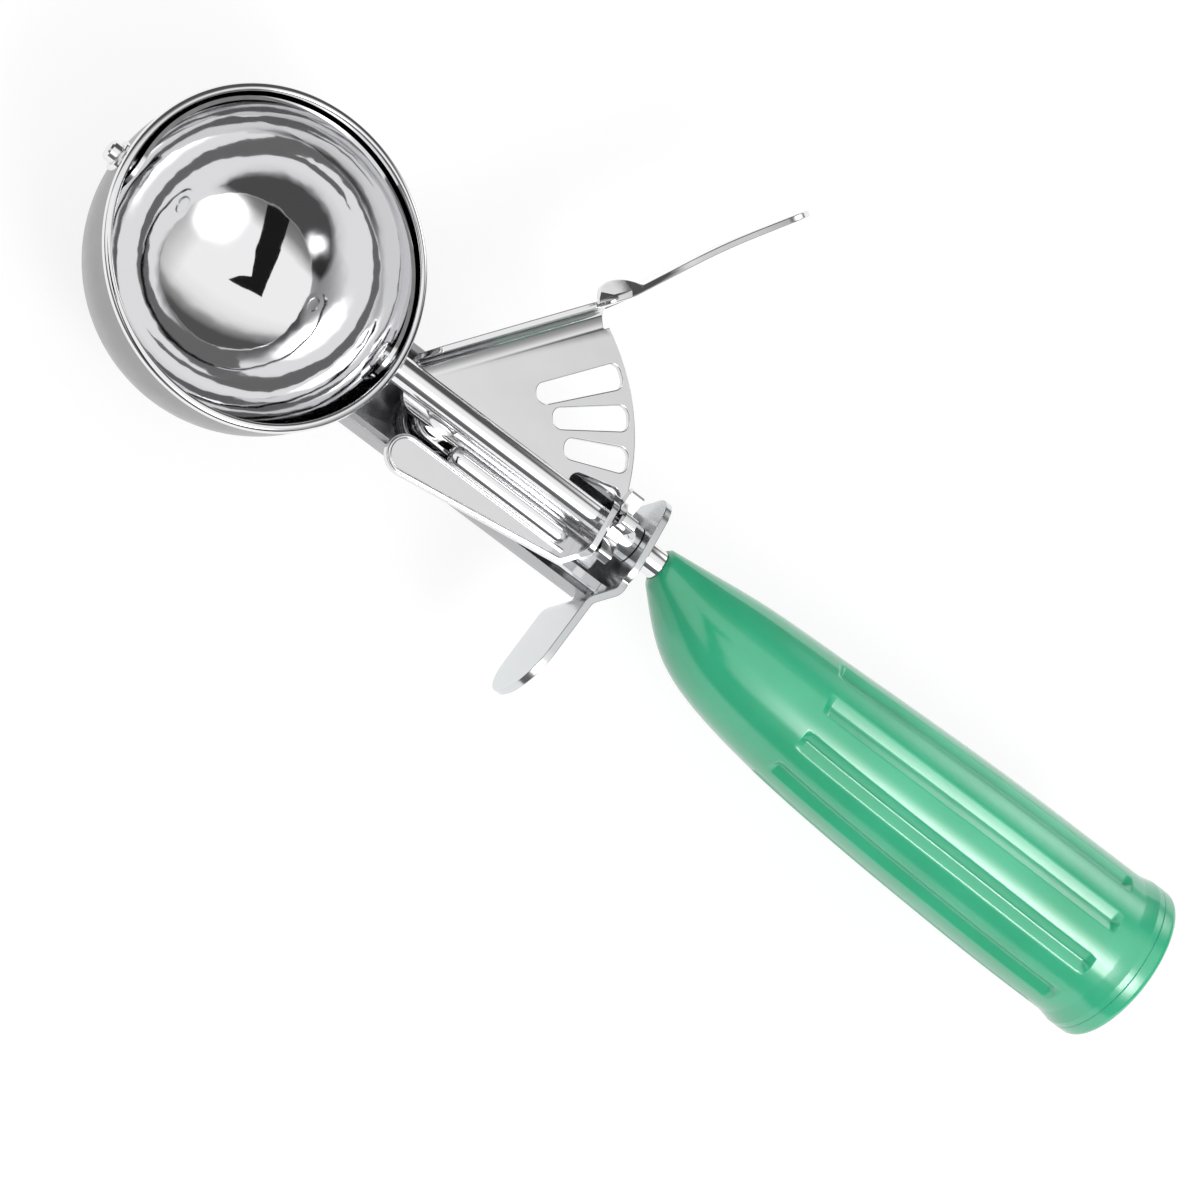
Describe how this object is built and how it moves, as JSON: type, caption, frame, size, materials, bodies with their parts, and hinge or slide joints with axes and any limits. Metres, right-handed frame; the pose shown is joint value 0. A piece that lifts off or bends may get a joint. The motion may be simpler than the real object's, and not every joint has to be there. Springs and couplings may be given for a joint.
{
  "type": "ice cream scoop",
  "caption": "Thumb-press ice cream disher: round bowl with a sweeping wiper blade, driven through a star pinion by a slotted sprung thumb lever, on a fluted green handle.",
  "frame": {"origin": "on the flat butt face of the handle's end cap, where the stem axis meets it", "axes": "+X runs along the stem from the butt towards the bowl, +Z points out of the bowl's mouth, the thumb lever is on the -Y side and the finger rest on the +Y side"},
  "size_m": [0.2317, 0.1042, 0.0443],
  "materials": {
    "polished_steel": "mirror-polished stainless steel",
    "bright_steel": "bright rolled stainless steel sheet",
    "spring_steel": "bright drawn spring wire",
    "green_plastic": "glossy moulded plastic, slightly translucent"
  },
  "bodies": {
    "frame": {"bowl": "polished_steel", "near_bush": "polished_steel", "far_bush": "polished_steel", "shank": "bright_steel", "front_plate": "bright_steel", "guard": "bright_steel", "ferrule": "polished_steel", "tang": "bright_steel", "tang_nut": "bright_steel", "tang_washer": "bright_steel", "grip": "green_plastic", "end_cap": "green_plastic", "pivot_rivet": "polished_steel", "pivot_washer": "bright_steel", "spring_sleeve": "bright_steel", "return_spring": "spring_steel"},
    "lever": {"thumb_lever": "bright_steel"},
    "wiper": {"wiper_blade": "polished_steel", "wiper_shaft": "polished_steel", "tip_pin": "polished_steel", "pinion": "polished_steel", "cross_pin": "bright_steel", "thrust_washer": "bright_steel"}
  },
  "joints": [
    {"name": "lever_press", "type": "hinge", "parent": "frame", "child": "lever", "pos_m": [0.1568, 0, -0.0068], "axis": [0, 0, -1], "range_deg": [0, 34], "stiffness_Nm_per_rad": 0.6, "springref_deg": -20.05, "deforming": ["return_spring"]},
    {"name": "wiper_turn", "type": "hinge", "parent": "frame", "child": "wiper", "pos_m": [0.2, 0, 0], "axis": [1, 0, 0], "range_deg": [0, 170]}
  ],
  "couplings": [
    {"joint": "wiper_turn", "follows": "lever_press", "ratio": 5}
  ]
}
